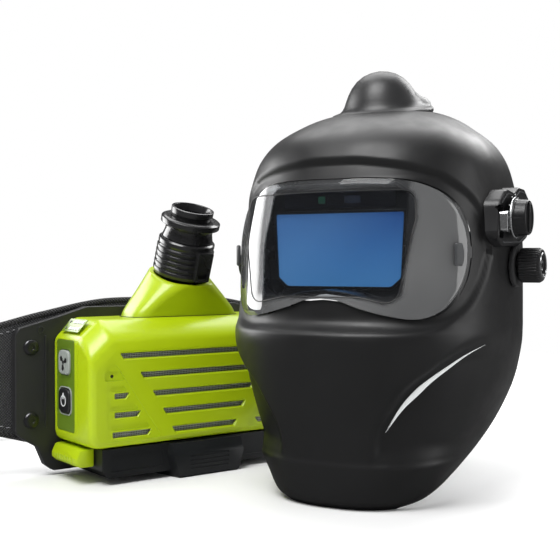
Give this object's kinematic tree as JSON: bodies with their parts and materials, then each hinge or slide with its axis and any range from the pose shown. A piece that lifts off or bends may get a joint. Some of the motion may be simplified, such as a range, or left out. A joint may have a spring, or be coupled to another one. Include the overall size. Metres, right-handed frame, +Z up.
{
  "type": "powered air respirator",
  "caption": "Welding helmet with darkening filter, headgear and breathing hose, with a belt-worn blower unit that filters and drives the air.",
  "frame": {"origin": "middle of the flat underside of the battery, on the floor plane", "axes": "+Z up; the helmet faces -Y and its flip axis runs along X; the blower stands beside it, its own front turned 65 degrees from -Y towards +X; the whole set is widest along X and lowest along Z"},
  "size_m": [0.6009, 0.579, 0.3481],
  "materials": {
    "helmet_shell": "satin black with a fine texture",
    "air_dome": "satin black",
    "lens_smoke": "polished smoke-grey polycarbonate",
    "cassette_black": "semi-gloss black",
    "filter_glass_blue": "blue-coated darkening filter",
    "sensor_window": "gloss dark window",
    "clear_cover": "clear polycarbonate",
    "circuit_board": "green solder mask",
    "control_black": "satin black",
    "trim_silver": "satin chrome",
    "latch_grey": "fine grained",
    "knob_black": "knurled",
    "washer_rubber": "matt",
    "face_seal_cloth": "coated knit",
    "headband_grey": "flexible, satin",
    "sweatband_cloth": "perforated foam-backed cloth",
    "bolt_steel": "turned",
    "duct_black": "satin",
    "hose_black": "corrugated",
    "lime_plastic": "semi-gloss lime green",
    "mesh_steel": "fine woven mesh",
    "filter_paper": "pleated filter paper",
    "fan_black": "moulded",
    "panel_green": "soft membrane",
    "key_grey": "soft key",
    "key_black": "soft key",
    "indicator_dark": "dark green window",
    "coupling_black": "semi-gloss black",
    "battery_black": "satin black",
    "plate_black": "moulded nylon",
    "rivet_dark": "blackened steel",
    "belt_cloth": "heavy nylon over foam",
    "webbing_cloth": "ribbed nylon webbing",
    "buckle_black": "acetal"
  },
  "bodies": {
    "blower": {"blower_housing": "lime_plastic", "outlet_funnel": "lime_plastic", "particle_filter": "filter_paper", "fan_volute": "fan_black", "fan_motor": "bolt_steel", "control_board": "circuit_board", "keypad_panel": "panel_green", "indicator_window": "indicator_dark", "outlet_socket": "coupling_black", "back_plate": "plate_black", "belt_rivet_left_upper": "rivet_dark", "belt_rivet_left_lower": "rivet_dark", "belt_rivet_right_upper": "rivet_dark", "belt_rivet_right_lower": "rivet_dark", "belt_pad": "belt_cloth", "webbing_left": "webbing_cloth", "buckle_socket": "buckle_black"},
    "filter_cover": {"filter_cover": "lime_plastic", "spark_arrester": "mesh_steel"},
    "impeller": {"impeller": "fan_black"},
    "fan_key": {"fan_key": "key_grey"},
    "power_key": {"power_key": "key_black"},
    "coupling_ring": {"coupling_ring": "coupling_black"},
    "battery": {"battery_case": "battery_black"},
    "battery_latch": {"battery_latch": "lime_plastic"},
    "buckle_plug": {"buckle_plug": "buckle_black", "webbing_right": "webbing_cloth"},
    "headgear": {"headband": "headband_grey", "sweatband": "sweatband_cloth", "crown_strap": "headband_grey", "side_arm_left": "headband_grey", "side_arm_right": "headband_grey", "pivot_bolt_left": "bolt_steel", "pivot_bolt_right": "bolt_steel", "ratchet_housing": "headband_grey", "air_duct": "duct_black", "breathing_hose": "hose_black", "hose_plug": "duct_black"},
    "ratchet_knob": {"ratchet_knob": "knob_black"},
    "band_tail_left": {"band_tail_left": "headband_grey"},
    "band_tail_right": {"band_tail_right": "headband_grey"},
    "pivot_knob_left": {"pivot_knob_left": "knob_black"},
    "pivot_knob_right": {"pivot_knob_right": "knob_black"},
    "shell": {"helmet_shell": "helmet_shell", "air_dome": "air_dome", "cover_lens": "lens_smoke", "cassette_frame": "cassette_black", "filter_glass": "filter_glass_blue", "inner_cover_lens": "clear_cover", "sensor_window": "sensor_window", "filter_circuit_board": "circuit_board", "control_housing": "control_black", "pivot_washer_left": "washer_rubber", "pivot_washer_right": "washer_rubber", "face_seal": "face_seal_cloth"},
    "shade_knob": {"shade_knob": "control_black"},
    "sensitivity_dial": {"sensitivity_dial": "control_black"},
    "mode_slider": {"mode_slider": "trim_silver"},
    "lens_latch_left": {"lens_latch_left": "latch_grey"},
    "lens_latch_right": {"lens_latch_right": "latch_grey"}
  },
  "joints": [
    {"name": "filter_cover_pull", "type": "slide", "parent": "blower", "child": "filter_cover", "axis": [0.9063, -0.4226, 0], "range_m": [0, 0.005]},
    {"name": "impeller_spin", "type": "hinge", "parent": "blower", "child": "impeller", "pos_m": [-0.01631, 0.00761, 0.084], "axis": [-0.9063, 0.4226, 0], "continuous": true},
    {"name": "fan_key_press", "type": "slide", "parent": "blower", "child": "fan_key", "axis": [0.4226, 0.9063, 0], "range_m": [0, 0.0015], "stiffness_N_per_m": 900},
    {"name": "power_key_press", "type": "slide", "parent": "blower", "child": "power_key", "axis": [0.4226, 0.9063, 0], "range_m": [0, 0.0015], "stiffness_N_per_m": 900},
    {"name": "coupling_ring_turn", "type": "hinge", "parent": "blower", "child": "coupling_ring", "pos_m": [-0.00634, 0.00296, 0.174], "axis": [0.31, -0.1445, 0.9397], "range_deg": [0, 30]},
    {"name": "battery_slide", "type": "slide", "parent": "blower", "child": "battery", "axis": [0.4226, 0.9063, 0], "range_m": [0, 0.04]},
    {"name": "battery_latch_pull", "type": "slide", "parent": "blower", "child": "battery_latch", "axis": [-0.4226, -0.9063, 0], "range_m": [0, 0.004], "stiffness_N_per_m": 600},
    {"name": "buckle_release", "type": "slide", "parent": "blower", "child": "buckle_plug", "axis": [0.4226, 0.9063, 0], "range_m": [0, 0.025]},
    {"name": "helmet_place", "type": "slide", "parent": "blower", "child": "headgear", "axis": [1, 0, 0], "range_m": [0, 0.1]},
    {"name": "shell_flip", "type": "hinge", "parent": "headgear", "child": "shell", "pos_m": [0.184, 0.0265, 0.184], "axis": [-1, 0, 0], "range_deg": [0, 60]},
    {"name": "pivot_knob_left_turn", "type": "hinge", "parent": "headgear", "child": "pivot_knob_left", "pos_m": [0.3008, 0.0265, 0.184], "axis": [1, 0, 0], "continuous": true},
    {"name": "pivot_knob_right_turn", "type": "hinge", "parent": "headgear", "child": "pivot_knob_right", "pos_m": [0.0672, 0.0265, 0.184], "axis": [-1, 0, 0], "continuous": true},
    {"name": "ratchet_turn", "type": "hinge", "parent": "headgear", "child": "ratchet_knob", "pos_m": [0.184, 0.1524, 0.162], "axis": [0, 1, 0], "range_deg": [-180, 180]},
    {"name": "band_tail_left_slide", "type": "slide", "parent": "headgear", "child": "band_tail_left", "axis": [1, 0, 0], "range_m": [-0.0101, 0.0101]},
    {"name": "band_tail_right_slide", "type": "slide", "parent": "headgear", "child": "band_tail_right", "axis": [-1, 0, 0], "range_m": [-0.0101, 0.0101]},
    {"name": "shade_knob_turn", "type": "hinge", "parent": "shell", "child": "shade_knob", "pos_m": [0.3043, -0.0015, 0.2205], "axis": [1, 0, 0], "range_deg": [-135, 135]},
    {"name": "sensitivity_dial_turn", "type": "hinge", "parent": "shell", "child": "sensitivity_dial", "pos_m": [0.3043, 0.0335, 0.2255], "axis": [1, 0, 0], "range_deg": [-120, 120]},
    {"name": "mode_slider_move", "type": "slide", "parent": "shell", "child": "mode_slider", "axis": [0, 0, 1], "range_m": [-0.004, 0.004]},
    {"name": "lens_latch_left_pull", "type": "slide", "parent": "shell", "child": "lens_latch_left", "axis": [0.8099, -0.5866, 0], "range_m": [0, 0.003], "stiffness_N_per_m": 400},
    {"name": "lens_latch_right_pull", "type": "slide", "parent": "shell", "child": "lens_latch_right", "axis": [-0.8099, -0.5866, 0], "range_m": [0, 0.003], "stiffness_N_per_m": 400}
  ],
  "couplings": [
    {"joint": "band_tail_left_slide", "follows": "ratchet_turn", "m_per_rad": 0.0032},
    {"joint": "band_tail_right_slide", "follows": "ratchet_turn", "m_per_rad": 0.0032}
  ]
}
